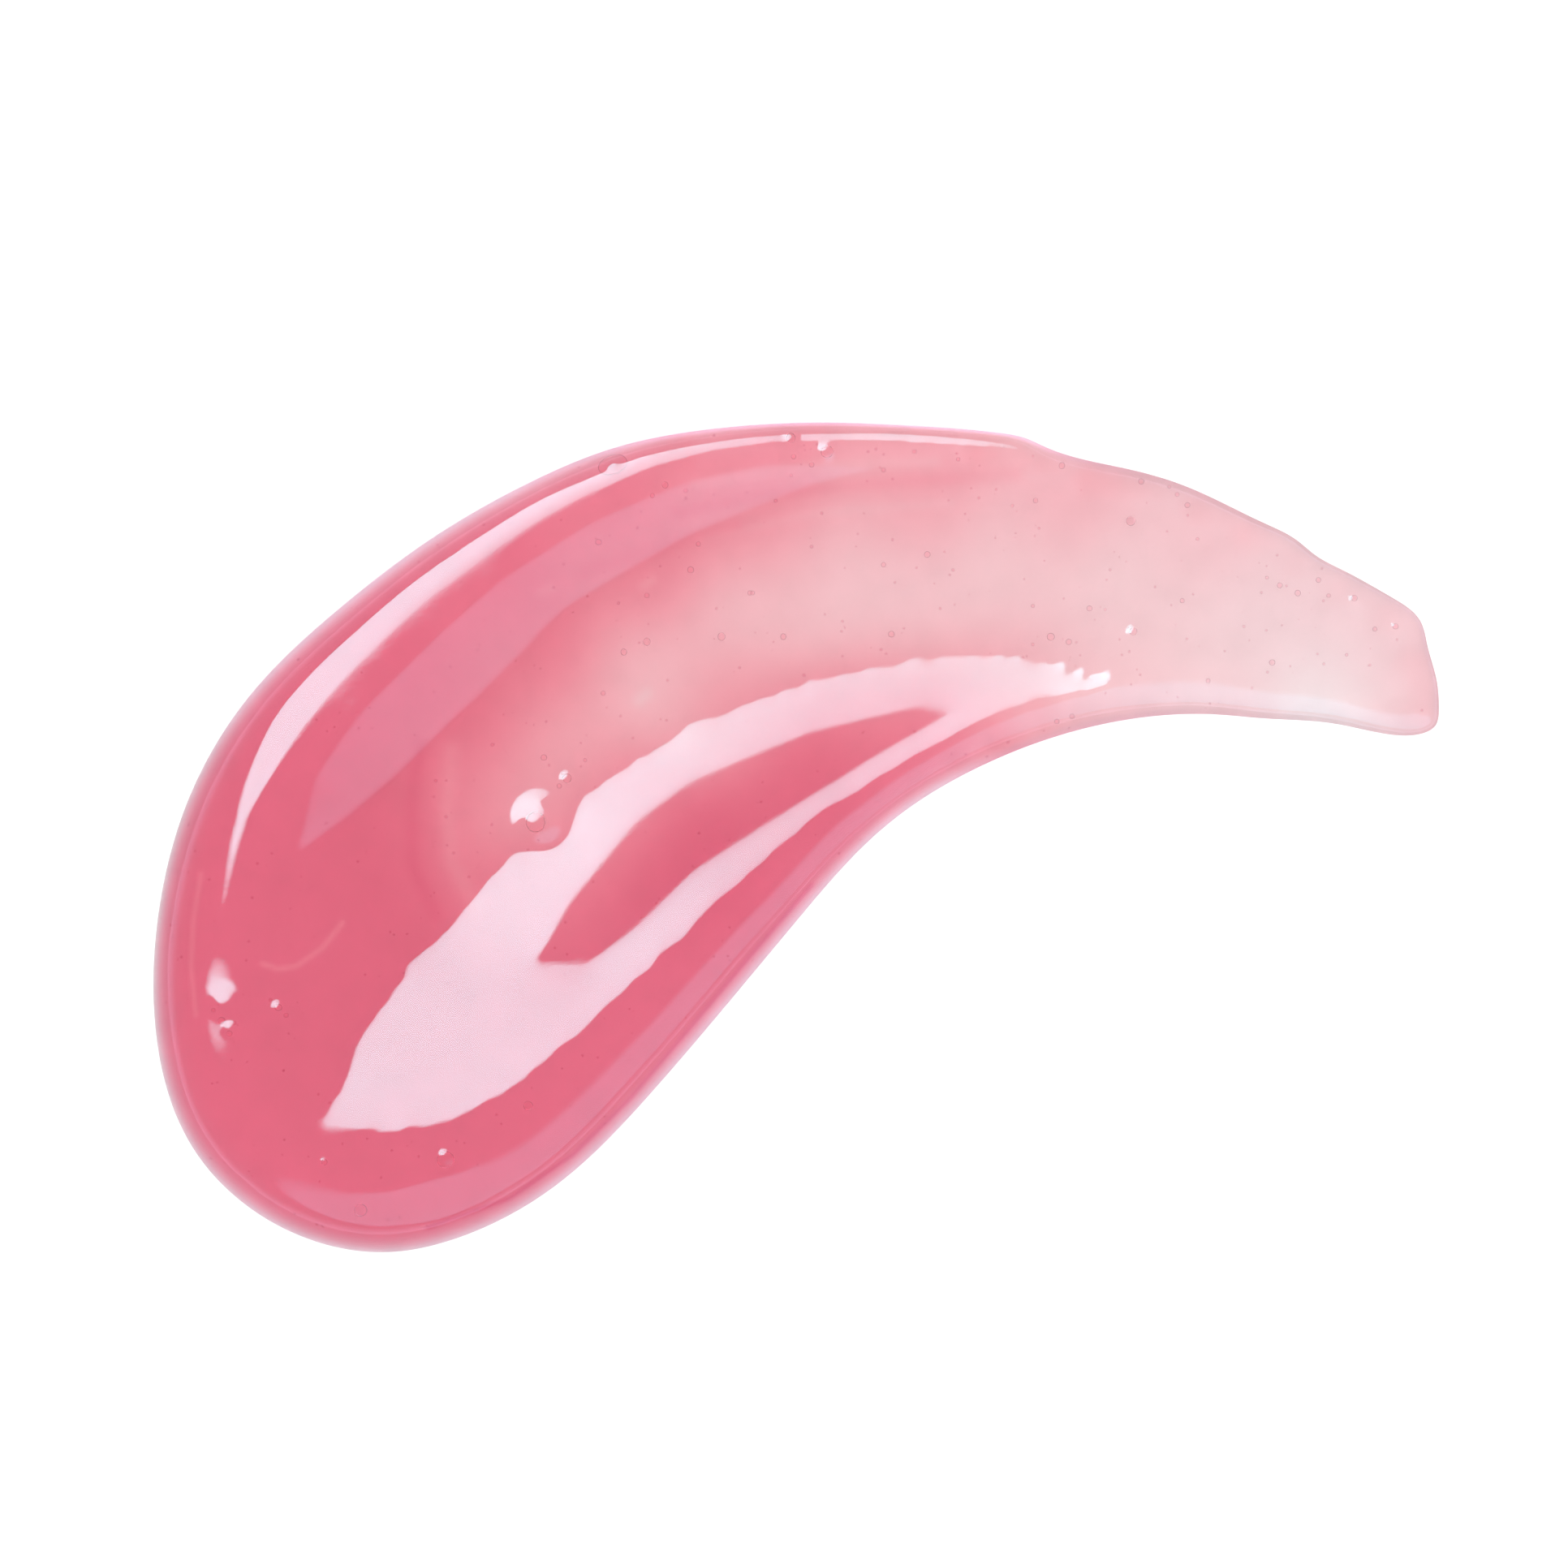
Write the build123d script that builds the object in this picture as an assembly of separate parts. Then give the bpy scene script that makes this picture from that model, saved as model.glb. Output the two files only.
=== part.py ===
from build123d import *
import math
import os

# A smear of tinted lip gloss, laid on a flat surface by one stroke of an applicator: a thick
# rounded head at the lower left, two low ridges that follow the stroke with a shallow valley
# between them, and a thin blunt tail at the upper right. It lies on z = 0, with +Z up.
# The gel is one continuous solid with a closed cavity round each air bubble that it trapped,
# and every bubble, or small group of fine bubbles, is a solid of its own that fills its cavity.

# Millimetres throughout. The smear is 50 long and 32 wide, and 2.2 thick at its crest.
CLEAR_HEIGHT = 4.0  # above every point of the smear
EDGE_INSET = 0.15  # how far past the contact line the rounded rim would run down to nothing
SECTION_STEP = 1.0  # from one cross-section of the top surface to the next, along X
POINT_STEP = 0.8  # from one point of a cross-section to the next, along Y
SECTION_MARGIN = 1.0  # how far the sections run past the outline before they are trimmed
SECTION_BASE = -3.0  # where the sections stop, below the surface that the smear lies on
LOWEST_POINT = -1.5  # the top surface stays above this outside the outline
OUTLINE_SAMPLES = 400  # straight pieces that distances from the contact line are taken to

# The contact line on the surface, clockwise from the top of the arch
OUTLINE = [
    (1.4, 16.15), (4.1, 16.05), (7.9, 15.75), (8.9, 15.55), (9.7, 15.2), (12.9, 14.35),
    (15.1, 13.7), (18.2, 12.25), (19.45, 11.6), (20.2, 11.0), (21.3, 10.4), (23.1, 9.4),
    (24.3, 8.4), (24.55, 7.5), (24.9, 6.2), (25.0, 5.1), (24.85, 4.35), (24.3, 4.05),
    (23.3, 4.0), (20.9, 4.45), (18.2, 4.65), (16.4, 4.8), (11.8, 4.4), (7.4, 2.9),
    (3.4, 0.4), (0.2, -3.0), (-2.8, -6.6), (-5.9, -10.2), (-9.2, -13.4), (-13.3, -15.6),
    (-15.7, -16.1), (-20.1, -15.1), (-23.5, -12.0), (-24.9, -7.6), (-24.8, -2.9),
    (-23.6, 1.6), (-21.2, 5.6), (-17.8, 8.9), (-14.1, 11.7), (-10.0, 14.0), (-7.3, 15.1),
    (-3.3, 15.9),
]

# Spot heights of the gel away from its rim, and how far the rim takes to round over to them:
# x, y, height, rim rounding length
SPOT_HEIGHTS = [
    # ridge along the upper left side, from the head to the tail
    (-21.5, -3.7, 1.80, 1.00), (-19.6, 2.6, 1.86, 0.65), (-16.1, 7.6, 1.83, 0.45),
    (-11.4, 11.4, 1.58, 0.36), (-5.7, 14.0, 1.27, 0.28), (0.6, 14.9, 1.00, 0.25),
    (8.5, 14.4, 0.91, 0.28), (14.8, 12.8, 0.62, 0.30), (20.2, 10.2, 0.46, 0.32),
    # valley down the middle of the stroke
    (-12.0, 2.6, 1.43, 0.50), (-7.3, 6.7, 1.23, 0.45), (-1.0, 9.8, 1.01, 0.40),
    (6.9, 10.5, 0.93, 0.35), (14.8, 8.6, 0.77, 0.35), (21.1, 6.4, 0.52, 0.35),
    (24.0, 6.4, 0.43, 0.32),
    # head
    (-19.9, -8.5, 1.75, 0.85), (-17.1, -4.7, 1.64, 0.80), (-17.4, -14.1, 1.95, 0.65),
    # flank that climbs from the valley to the lower right ridge
    (-15.2, -6.9, 1.72, 0.80), (-11.4, -2.5, 1.60, 0.70), (-7.3, 1.6, 1.46, 0.60),
    (-2.6, 4.8, 1.23, 0.50), (3.8, 6.4, 1.10, 0.40), (10.1, 6.4, 0.98, 0.38),
    # crest of the lower right ridge, from the head to the tail
    (-13.3, -12.2, 2.20, 0.60), (-8.9, -8.1, 2.30, 0.55), (-4.8, -3.7, 2.10, 0.50),
    (-0.7, -0.3, 1.78, 0.45), (3.8, 2.6, 1.48, 0.40), (8.5, 4.5, 1.18, 0.38),
    (14.8, 5.4, 0.80, 0.40), (19.5, 5.4, 0.58, 0.38),
]
SPOT_REACH = 2.6  # how far one spot height reaches

# Single bubbles: name, x, y, radius, share of the gel's height at which the centre lies
BUBBLES = [
    ("bubble_head_dome", -10.1, 0.6, 0.41, 0.60),
    ("bubble_dome_companion", -8.9, 2.3, 0.19, 0.70),
    ("bubble_top_rim", 1.2, 15.0, 0.25, 0.50),
    ("bubble_top_edge", -0.2, 15.5, 0.17, 0.50),
    ("bubble_lower_ridge", -13.6, -12.5, 0.35, 0.75),
    ("bubble_ridge_crest", -10.4, -10.4, 0.19, 0.85),
    ("bubble_head_bottom", -16.9, -14.4, 0.25, 0.60),
    ("bubble_head_small", -18.3, -12.6, 0.12, 0.80),
    ("bubble_tail_glint", 13.1, 8.0, 0.15, 0.50),
    ("bubble_tail_top", 13.0, 12.3, 0.19, 0.50),
    ("bubble_tail_edge", 21.7, 9.3, 0.12, 0.50),
    ("bubble_tail_corner", 23.3, 8.2, 0.11, 0.50),
]

# The one flattened bubble, caught under the rim where the contact line bulges
OVAL_BUBBLE = ("bubble_rim_oval", -7.1, 14.4, 0.50)
OVAL_SEMI_AXES = (0.60, 0.36, 0.22)
OVAL_TURN = 20.0  # degrees, its long axis along the rim

# Fine bubbles, a node for each cluster: name, centre height share, then x, y, radius of each
BUBBLE_GROUPS = [
    ("bubbles_left_cluster", 0.80, [
        (-22.3, -7.1, 0.16), (-22.0, -7.6, 0.13), (-22.6, -6.7, 0.09), (-21.8, -7.2, 0.08)]),
    ("bubbles_left_star", 0.80, [
        (-20.1, -6.6, 0.14), (-19.8, -6.9, 0.10), (-20.4, -6.3, 0.08)]),
    ("bubbles_valley", 0.55, [
        (-2.9, 7.8, 0.17), (-5.8, 7.6, 0.16), (-6.7, 7.2, 0.14), (-0.5, 7.8, 0.13),
        (3.7, 7.9, 0.14), (9.9, 7.8, 0.16), (10.6, 7.6, 0.13)]),
    ("bubbles_upper_valley", 0.55, [
        (-4.1, 10.4, 0.13), (-5.8, 9.4, 0.11), (-1.7, 9.5, 0.10), (-3.8, 11.4, 0.10),
        (5.1, 11.0, 0.13), (3.4, 10.6, 0.10), (-7.7, 11.5, 0.13)]),
    ("bubbles_under_ridge", 0.55, [
        (-5.1, 13.7, 0.13), (-5.6, 13.3, 0.10), (-4.3, 13.5, 0.09), (-0.1, 14.8, 0.11),
        (0.6, 14.5, 0.11), (3.4, 14.3, 0.10), (6.3, 14.7, 0.09)]),
    ("bubbles_head_valley", 0.60, [
        (-9.8, 3.1, 0.13), (-9.2, 2.0, 0.11), (-7.5, 5.6, 0.10), (-8.2, 3.0, 0.08)]),
    ("bubbles_tail_rim", 0.50, [
        (10.3, 14.4, 0.12), (13.4, 13.8, 0.12), (15.2, 12.9, 0.12), (14.8, 13.3, 0.09),
        (9.3, 13.1, 0.11)]),
    ("bubbles_tail", 0.50, [
        (18.8, 9.8, 0.12), (19.5, 9.5, 0.13), (20.3, 10.0, 0.11), (20.7, 9.4, 0.09),
        (22.5, 8.1, 0.10), (18.5, 6.8, 0.13), (16.0, 6.1, 0.10)]),
    ("bubbles_lower_tail", 0.50, [
        (10.1, 4.6, 0.11), (10.7, 4.8, 0.10), (11.4, 8.9, 0.12), (15.0, 9.2, 0.10)]),
]


def outline_edge():
    """The closed contact line as one smooth curve, with the middle of its box at the origin."""
    edge = Edge.make_spline([Vector(x, y) for x, y in OUTLINE], periodic=True)
    line = sample_points(edge)
    middle_x = (min(x for x, y in line) + max(x for x, y in line)) / 2
    middle_y = (min(y for x, y in line) + max(y for x, y in line)) / 2
    return Pos(-middle_x, -middle_y, 0) * edge


def sample_points(edge):
    """Evenly spaced points on the contact line."""
    spots = [edge.position_at(i / OUTLINE_SAMPLES) for i in range(OUTLINE_SAMPLES)]
    return [(spot.X, spot.Y) for spot in spots]


def distance_inside(x, y, line):
    """Distance from the contact line, positive inside it and negative outside."""
    nearest = math.inf
    inside = False
    for (ax, ay), (bx, by) in zip(line, line[1:] + line[:1]):
        dx, dy = bx - ax, by - ay
        share = ((x - ax) * dx + (y - ay) * dy) / (dx * dx + dy * dy)
        share = min(max(share, 0.0), 1.0)
        nearest = min(nearest, math.hypot(x - ax - share * dx, y - ay - share * dy))
        if (ay > y) != (by > y) and x < ax + (y - ay) * dx / dy:
            inside = not inside
    return nearest if inside else -nearest


def plateau(x, y):
    """Height of the gel away from its rim and the rim's rounding length, blended from the spots."""
    total, height, rounding = 0.0, 0.0, 0.0
    for sx, sy, spot_height, spot_rounding in SPOT_HEIGHTS:
        square = ((x - sx) ** 2 + (y - sy) ** 2) / SPOT_REACH**2
        weight = math.exp(-square / 2) + 1e-4 / (1 + square)
        total += weight
        height += weight * spot_height
        rounding += weight * spot_rounding
    return height / total, rounding / total


def gel_height(x, y, line):
    """Height of the gel's top over a point: it rounds over from the rim to its plateau."""
    height, rounding = plateau(x, y)
    depth = distance_inside(x, y, line) + EDGE_INSET
    if depth < 0:
        return max(height / rounding * depth, LOWEST_POINT)
    return height * (1 - math.exp(-depth / rounding))


def cross_section(x, ys, line):
    """A closed section across the smear: straight below, and along the gel's height on top."""
    crown = [Vector(x, y, gel_height(x, y, line)) for y in ys]
    low_start, low_end = Vector(x, ys[0], SECTION_BASE), Vector(x, ys[-1], SECTION_BASE)
    return Wire([
        Edge.make_line(low_start, crown[0]),
        Edge.make_spline(crown),
        Edge.make_line(crown[-1], low_end),
        Edge.make_line(low_end, low_start),
    ])


def span(values, step):
    """Evenly spaced numbers that cover the values with the section margin at both ends."""
    low = min(values) - SECTION_MARGIN
    count = math.ceil((max(values) + SECTION_MARGIN - low) / step)
    return [low + i * step for i in range(count + 1)]


def gel_body(edge, line):
    """The outline stood up as a column and trimmed to the strips between the cross-sections."""
    column = Solid.extrude(Face(Wire([edge])), Vector(0, 0, CLEAR_HEIGHT))
    ys = span([y for x, y in line], POINT_STEP)
    sections = [cross_section(x, ys, line) for x in span([x for x, y in line], SECTION_STEP)]
    return (column & Solid.make_loft(sections, ruled=True)).solid()


def bubble(x, y, radius, share, line):
    """A round bubble, its centre at a share of the gel's height."""
    return Pos(x, y, share * gel_height(x, y, line)) * Sphere(radius)


def oval_bubble(line):
    """The flattened bubble under the rim."""
    name, x, y, share = OVAL_BUBBLE
    oval = Rot(0, 0, OVAL_TURN) * scale(Sphere(1), by=OVAL_SEMI_AXES)
    return name, Pos(x, y, share * gel_height(x, y, line)) * oval


def all_bubbles(line):
    """Each bubble node's name and its solids."""
    nodes = [(name, [bubble(x, y, radius, share, line)]) for name, x, y, radius, share in BUBBLES]
    name, oval = oval_bubble(line)
    nodes.append((name, [oval]))
    for name, share, group in BUBBLE_GROUPS:
        nodes.append((name, [bubble(x, y, radius, share, line) for x, y, radius in group]))
    return nodes


def write_node(name, solids):
    """One STEP file for one sub-part."""
    shape = solids[0] if len(solids) == 1 else Compound(children=solids)
    shape.label = name
    export_step(shape, f"parts/{name}.step")


def main():
    os.makedirs("parts", exist_ok=True)
    edge = outline_edge()
    line = sample_points(edge)
    bubbles = all_bubbles(line)
    air = [solid for name, solids in bubbles for solid in solids]
    gel = gel_body(edge, line).cut(*air).solid()
    write_node("gloss_smear", [gel])
    for name, solids in bubbles:
        write_node(name, solids)
    print("gel", round(gel.volume, 1), "mm3 with", len(gel.shells()) - 1, "cavities")
    print("air", round(sum(solid.volume for solid in air), 3), "mm3 in", len(air), "bubbles")


main()
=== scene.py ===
"""A smear of glossy lip gloss, rebuilt round its CAD frame: one clear gel with trapped air bubbles."""
import math

import bmesh
import bpy
import numpy as np
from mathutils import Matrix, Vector
from mathutils.geometry import delaunay_2d_cdt
from mathutils.kdtree import KDTree


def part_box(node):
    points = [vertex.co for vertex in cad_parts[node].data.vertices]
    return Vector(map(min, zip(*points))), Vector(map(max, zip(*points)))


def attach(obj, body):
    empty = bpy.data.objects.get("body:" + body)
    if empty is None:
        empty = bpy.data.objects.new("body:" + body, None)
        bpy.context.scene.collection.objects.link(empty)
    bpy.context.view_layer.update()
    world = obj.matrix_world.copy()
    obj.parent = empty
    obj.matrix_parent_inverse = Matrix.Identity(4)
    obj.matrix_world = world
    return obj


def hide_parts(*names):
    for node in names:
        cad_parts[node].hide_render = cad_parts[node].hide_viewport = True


MM = 0.001

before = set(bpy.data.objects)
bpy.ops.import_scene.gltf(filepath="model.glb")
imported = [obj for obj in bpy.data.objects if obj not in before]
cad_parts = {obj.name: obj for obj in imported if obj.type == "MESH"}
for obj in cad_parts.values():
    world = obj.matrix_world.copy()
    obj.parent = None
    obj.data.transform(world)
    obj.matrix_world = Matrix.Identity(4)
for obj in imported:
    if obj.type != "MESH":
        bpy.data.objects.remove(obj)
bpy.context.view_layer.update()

# ---------------------------------------------------------------- shape, in millimetres
# The contact line, clockwise from the top of the arch: the same points that the CAD gel has
OUTLINE = [
    (1.4, 16.15), (4.1, 16.05), (7.9, 15.75), (8.9, 15.55), (9.7, 15.2), (12.9, 14.35),
    (15.1, 13.7), (18.2, 12.25), (19.45, 11.6), (20.2, 11.0), (21.3, 10.4), (23.1, 9.4),
    (24.3, 8.4), (24.55, 7.5), (24.9, 6.2), (25.0, 5.1), (24.85, 4.35), (24.3, 4.05),
    (23.3, 4.0), (20.9, 4.45), (18.2, 4.65), (16.4, 4.8), (11.8, 4.4), (7.4, 2.9),
    (3.4, 0.4), (0.2, -3.0), (-2.8, -6.6), (-5.9, -10.2), (-9.2, -13.4), (-13.3, -15.6),
    (-15.7, -16.1), (-20.1, -15.1), (-23.5, -12.0), (-24.9, -7.6), (-24.8, -2.9),
    (-23.6, 1.6), (-21.2, 5.6), (-17.8, 8.9), (-14.1, 11.7), (-10.0, 14.0), (-7.3, 15.1),
    (-3.3, 15.9),
]
OUTLINE_STEP = 0.05

# The relief runs across the stroke, from its upper left side to its lower right side. Each zone
# has one slope there: the ledge climbs a little from the upper left rim, the bank drops from it
# to the valley, the broad flank climbs to the lower right ridge, the terrace on it is nearly
# level, and the toe and the shoulder drop from that ridge to the rim.
LEDGE = [
    (-22.5, -3.5), (-22.2, -2.4), (-21.9, -0.8), (-21.5, 0.75), (-20.6, 2.2), (-19.4, 4.15),
    (-18.1, 5.8), (-16.6, 7.4), (-15.0, 8.9), (-13.2, 10.3), (-11.3, 11.65), (-9.45, 12.8),
    (-8.15, 13.5), (-5.35, 14.6), (-3.2, 15.1), (-0.95, 15.35), (1.4, 15.4), (4.1, 15.4),
    (6.0, 15.3), (7.85, 15.15), (8.9, 14.9), (9.6, 17.0), (-3.0, 17.5), (-12.0, 15.0),
    (-20.0, 9.0), (-25.5, 2.0), (-26.0, -3.4),
]
FLANK = [
    (-18.2, -11.0), (-17.1, -8.1), (-15.2, -5.0), (-13.6, -3.7), (-11.1, -0.7),
    (-9.2, -0.1), (-8.2, 1.6), (-4.1, 4.3), (0.6, 6.1), (5.7, 7.2), (8.5, 7.2), (12.6, 5.9),
    (9.8, 5.3), (6.9, 4.3), (3.8, 2.6), (0.6, 0.7), (-3.5, -2.8), (-5.7, -5.0), (-8.2, -7.4),
    (-10.8, -9.7), (-13.3, -11.1), (-15.8, -11.5),
]
TERRACE = [
    (-10.0, -4.7), (-8.9, -2.5), (-6.3, 0.7), (-4.1, 2.3), (0.6, 4.2), (4.7, 5.1), (6.1, 4.8),
    (3.1, 3.1), (-1.0, 0.5), (-4.1, -1.5), (-6.3, -3.7), (-8.2, -5.1),
]
BANK = [
    (-19.3, -0.6), (-18.8, 2.3), (-17.1, 4.8), (-13.9, 8.0), (-11.4, 10.2), (-7.9, 12.4),
    (-4.1, 14.0), (-1.0, 14.6), (3.8, 14.4), (0.6, 13.6), (-4.1, 11.7), (-8.9, 8.9),
    (-12.0, 5.7), (-13.3, 4.5), (-15.2, 2.6), (-17.4, 0.7),
]
TOE = [
    (-21.8, -13.1), (-20.6, -12.65), (-18.65, -13.35), (-17.4, -13.75), (-15.8, -13.75),
    (-13.9, -13.2), (-12.4, -12.9), (-12.4, -18.5), (-18.3, -19.5), (-24.7, -14.8),
]
SHOULDER = [
    (-12.4, -13.4), (-10.4, -12.5), (-8.0, -10.4), (-5.8, -8.2), (-2.5, -4.4), (1.5, -1.3),
    (4.4, 1.5), (7.2, 3.6), (10.1, 4.4), (13.2, 2.3), (6.9, -0.9), (0.6, -8.5), (-8.9, -17.9),
    (-12.4, -18.5),
]
BANK_SLOPE = -0.22
TERRACE_SLOPE = 0.02
TOE_SLOPE = -0.20
SHOULDER_SLOPE = -0.24
# Slopes of the ledge and of the flank, by how far along the stroke they are (head to tail)
LEDGE_SLOPES = (
    (-18.5, 0.14), (-15.0, 0.14), (-11.0, 0.095), (2.0, 0.085), (9.0, 0.20), (16.0, 0.30),
)
FLANK_SLOPES = (
    (-20.0, 0.120), (-4.0, 0.115), (1.6, 0.105), (8.0, 0.12), (11.0, 0.24), (13.0, 0.45),
)
# Height of the upper left ridge, by how far along the stroke it is (head to tail)
RIDGE_HEIGHTS = (
    (-26.0, 1.45), (-14.0, 1.50), (-6.0, 1.42), (-1.7, 1.26), (2.0, 1.08), (6.0, 0.93),
    (9.0, 0.83), (12.0, 0.82), (15.0, 0.85), (17.0, 0.72), (19.5, 0.54), (21.5, 0.46),
    (24.0, 0.42),
)
# How far the rim takes to round over, at spots round the outline: x, y, length
RIM_ROUNDING = (
    (-22.4, -2.4, 1.02), (-22.2, -0.6, 0.86), (-21.9, 0.9, 0.80), (-21.3, 2.6, 0.62),
    (-20.2, 4.8, 0.48), (-18.8, 6.4, 0.42), (-17.1, 8.0, 0.40), (-15.4, 9.5, 0.34),
    (-13.5, 10.8, 0.34), (-11.5, 12.1, 0.315), (-9.7, 13.3, 0.24), (-8.3, 13.9, 0.255),
    (-5.4, 15.0, 0.155), (-3.2, 15.4, 0.12), (-1.0, 15.7, 0.095), (1.4, 15.7, 0.10),
    (4.1, 15.7, 0.07), (6.0, 15.6, 0.065), (7.9, 15.4, 0.07), (11.0, 14.2, 0.24),
    (14.8, 12.8, 0.30), (20.2, 10.2, 0.34), (24.2, 6.4, 0.36),
    (-22.7, -4.7, 1.14), (-22.6, -6.5, 0.82),
    (-22.0, -9.5, 0.75), (-17.0, -14.0, 0.65), (-13.3, -13.2, 0.52), (-8.9, -11.0, 0.48),
    (-3.0, -5.0, 0.46), (0.5, -1.5, 0.42), (4.5, 2.0, 0.36), (8.5, 4.0, 0.38),
    (14.8, 5.2, 0.42), (19.5, 5.2, 0.40),
)
SPOT_REACH = 1.3  # how far a spot of the rim's rounding is felt
RELIEF_STEP = 0.08
RELIEF_HALF = 32.0  # half the side of the square that the relief is worked out on
ZONE_BLEND = 0.10  # how softly one slope turns into the next
SHOULDER_BLEND = 0.50  # the same for the shoulder, which starts gradually
RAGGED = 0.07  # how far the flank's edge wanders
RAGGED_WIDTH = 0.16  # and over what length
ALONG_BLEND = 1.5  # how softly the ridge height changes along the stroke

# Bulges that the bubbles just under the skin push up, and first a broad swell: x, y, radius, height
DOMES = (
    (13.4, 5.6, 3.2, 0.115),
    (-9.9, 0.65, 0.95, 0.190), (-8.9, 2.3, 0.24, 0.035), (1.2, 15.0, 0.34, 0.060),
    (-22.2, -6.4, 0.60, 0.055), (-22.0, -7.4, 0.24, 0.040), (-20.1, -6.6, 0.26, 0.035),
    (-13.6, -12.4, 0.32, 0.040), (-10.4, -10.4, 0.20, 0.020), (13.1, 8.0, 0.22, 0.030),
    (21.7, 9.3, 0.20, 0.030), (23.3, 8.2, 0.18, 0.025), (-7.15, 14.72, 0.36, 0.060),
    (-0.2, 15.6, 0.26, 0.030), (-18.3, -12.6, 0.18, 0.020), (-16.9, -14.4, 0.26, 0.020),
)
DOME_STEEPNESS = 1.6
DOME_RIM = 0.3  # a dome is lower where it is nearer to the contact line than this
FAR_WEIGHT = 1e-4  # what a spot still counts for far beyond its reach


def outline_points():
    """Points every OUTLINE_STEP along a closed cubic spline through OUTLINE, centred on the CAD gel."""
    points = np.array(OUTLINE)
    count = len(points)
    gaps = np.hypot(*(np.roll(points, -1, axis=0) - points).T)
    before = np.roll(gaps, 1)
    rises = (np.roll(points, -1, axis=0) - points) / gaps[:, None]
    matrix = np.zeros((count, count))
    for i in range(count):
        matrix[i, i - 1] += gaps[i]
        matrix[i, i] += 2 * (before[i] + gaps[i])
        matrix[i, (i + 1) % count] += before[i]
    right = 3 * (gaps[:, None] * np.roll(rises, 1, axis=0) + before[:, None] * rises)
    tangents = np.linalg.solve(matrix, right)
    pieces = []
    for i in range(count):
        j = (i + 1) % count
        steps = max(2, round(gaps[i] / OUTLINE_STEP))
        t = np.linspace(0, 1, steps, endpoint=False)[:, None]
        pieces.append(
            (2 * t**3 - 3 * t**2 + 1) * points[i] + (t**3 - 2 * t**2 + t) * gaps[i] * tangents[i]
            + (3 * t**2 - 2 * t**3) * points[j] + (t**3 - t**2) * gaps[i] * tangents[j]
        )
    line = np.vstack(pieces)
    low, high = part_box("gloss_smear")
    cad_middle = np.array([low[0] + high[0], low[1] + high[1]]) / 2 / MM
    return line - (line.min(axis=0) + line.max(axis=0)) / 2 + cad_middle


def inside(loop, x, y):
    """Which points lie inside a closed loop."""
    result = np.zeros(x.shape, bool)
    for (ax, ay), (bx, by) in zip(loop, list(loop[1:]) + [loop[0]]):
        if ay != by:
            result ^= ((ay > y) != (by > y)) & (x < ax + (y - ay) * (bx - ax) / (by - ay))
    return result


def blur(values, width, axis):
    """Gaussian blur along one axis; width is in samples."""
    reach = math.ceil(3 * width)
    kernel = np.exp(-0.5 * (np.arange(-reach, reach + 1) / width) ** 2)
    kernel /= kernel.sum()
    return np.apply_along_axis(lambda row: np.convolve(row, kernel, mode="same"), axis, values)


def soften(values, width):
    return blur(blur(values, width / RELIEF_STEP, 0), width / RELIEF_STEP, 1)


def ripples(random, shape, width):
    """Smooth seeded noise with a spread of 1."""
    noise = soften(random.standard_normal(shape), width)
    return noise / noise.std()


class Relief:
    """The gel's height away from its rim: the surface that fits the slopes of its zones best."""

    def __init__(self):
        self.axis = np.arange(-RELIEF_HALF, RELIEF_HALF, RELIEF_STEP)
        across, along = np.meshgrid(self.axis, self.axis)
        x, y = (across + along) / math.sqrt(2), (along - across) / math.sqrt(2)
        random = np.random.default_rng(7)
        ragged_x = x + RAGGED * ripples(random, x.shape, RAGGED_WIDTH)
        ragged_y = y + RAGGED * ripples(random, x.shape, RAGGED_WIDTH)
        flank = np.interp(along, *zip(*FLANK_SLOPES))
        ledge = np.interp(along, *zip(*LEDGE_SLOPES))
        terrace = inside(TERRACE, x, y)
        slope = np.where(terrace, TERRACE_SLOPE, flank * inside(FLANK, ragged_x, ragged_y))
        for loop, value in ((LEDGE, ledge), (BANK, BANK_SLOPE), (TOE, TOE_SLOPE)):
            slope += value * inside(loop, x, y)
        slope = soften(slope, ZONE_BLEND)
        slope += soften(SHOULDER_SLOPE * inside(SHOULDER, x, y), SHOULDER_BLEND)
        waves = 2 * math.pi * np.fft.fftfreq(len(self.axis), RELIEF_STEP)
        squares = waves[None, :] ** 2 + waves[:, None] ** 2
        squares[0, 0] = 1.0
        height = np.fft.ifft2(-1j * waves[None, :] * np.fft.fft2(slope) / squares).real
        places, heights = zip(*RIDGE_HEIGHTS)
        ridge = np.interp(self.axis, places, heights)[:, None] * np.ones(x.shape)
        self.height = height + blur(ridge, ALONG_BLEND / RELIEF_STEP, 0)

    def at(self, x, y):
        column = ((x - y) / math.sqrt(2) + RELIEF_HALF) / RELIEF_STEP
        row = ((x + y) / math.sqrt(2) + RELIEF_HALF) / RELIEF_STEP
        i, j = np.floor(row).astype(int), np.floor(column).astype(int)
        u, v = row - i, column - j
        h = self.height
        return ((1 - u) * (1 - v) * h[i, j] + (1 - u) * v * h[i, j + 1]
                + u * (1 - v) * h[i + 1, j] + u * v * h[i + 1, j + 1])


def blend_spots(x, y, spots, reach):
    """Value at each point, blended smoothly from spots of x, y, value."""
    total, result = np.zeros(x.shape), np.zeros(x.shape)
    for sx, sy, value in spots:
        square = ((x - sx) ** 2 + (y - sy) ** 2) / reach**2
        weight = np.exp(-square / 2) + FAR_WEIGHT / (1 + square)
        total += weight
        result += weight * value
    return result / total


LINE = outline_points()
RELIEF = Relief()
TREE = KDTree(len(LINE))
for number, (px, py) in enumerate(LINE):
    TREE.insert((px, py, 0.0), number)
TREE.balance()


def rim_distance(x, y):
    return np.array([TREE.find((a, b, 0.0))[2] for a, b in zip(x, y)])


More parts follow.
